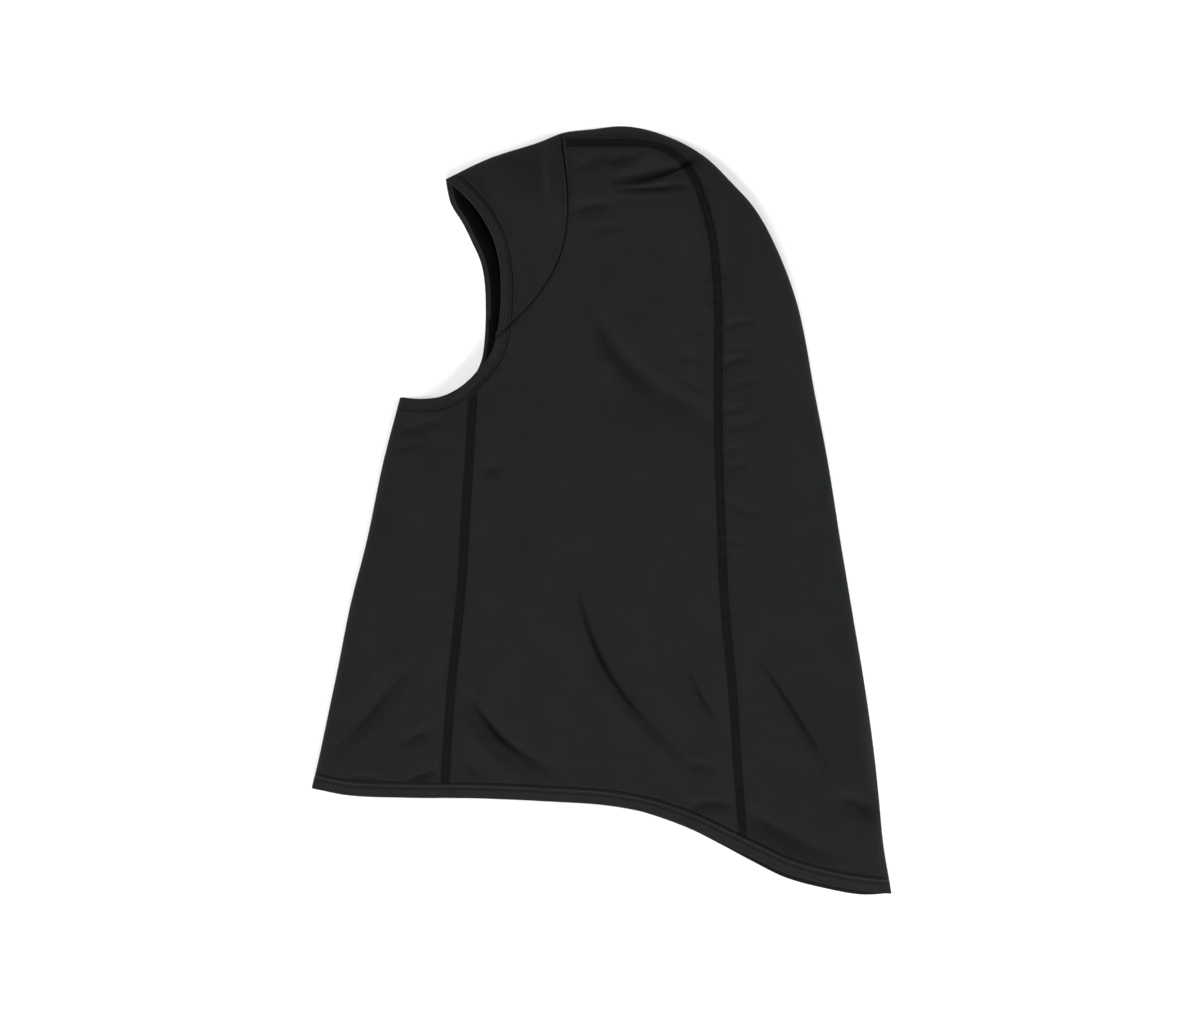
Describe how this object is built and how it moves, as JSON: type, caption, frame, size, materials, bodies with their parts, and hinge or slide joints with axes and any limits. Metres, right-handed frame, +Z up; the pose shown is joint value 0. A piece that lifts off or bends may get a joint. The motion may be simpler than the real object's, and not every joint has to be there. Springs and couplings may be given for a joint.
{
  "type": "sports hijab",
  "caption": "Pull-on knit sports hijab with a face opening, hood and long front and back, laid flat on its side and folded in two.",
  "frame": {"origin": "centre of the bounding box at the surface it lies on", "axes": "+Z up from the surface it lies on, +Y toward the crown, +X toward the back of the head"},
  "size_m": [0.383, 0.5074, 0.018],
  "materials": {
    "knit": "matt knit",
    "hem": "matt knit, turned double",
    "seam": "matt cover-stitched thread"
  },
  "bodies": {
    "root": {"forehead_panel": "knit", "crown_back_panel": "knit", "chin_panel": "knit", "side_panel_left": "knit", "side_panel_right": "knit", "face_hem": "hem", "bottom_hem": "hem", "forehead_seam": "seam", "back_seam_left": "seam", "back_seam_right": "seam", "front_seam_left": "seam", "front_seam_right": "seam"}
  },
  "joints": []
}
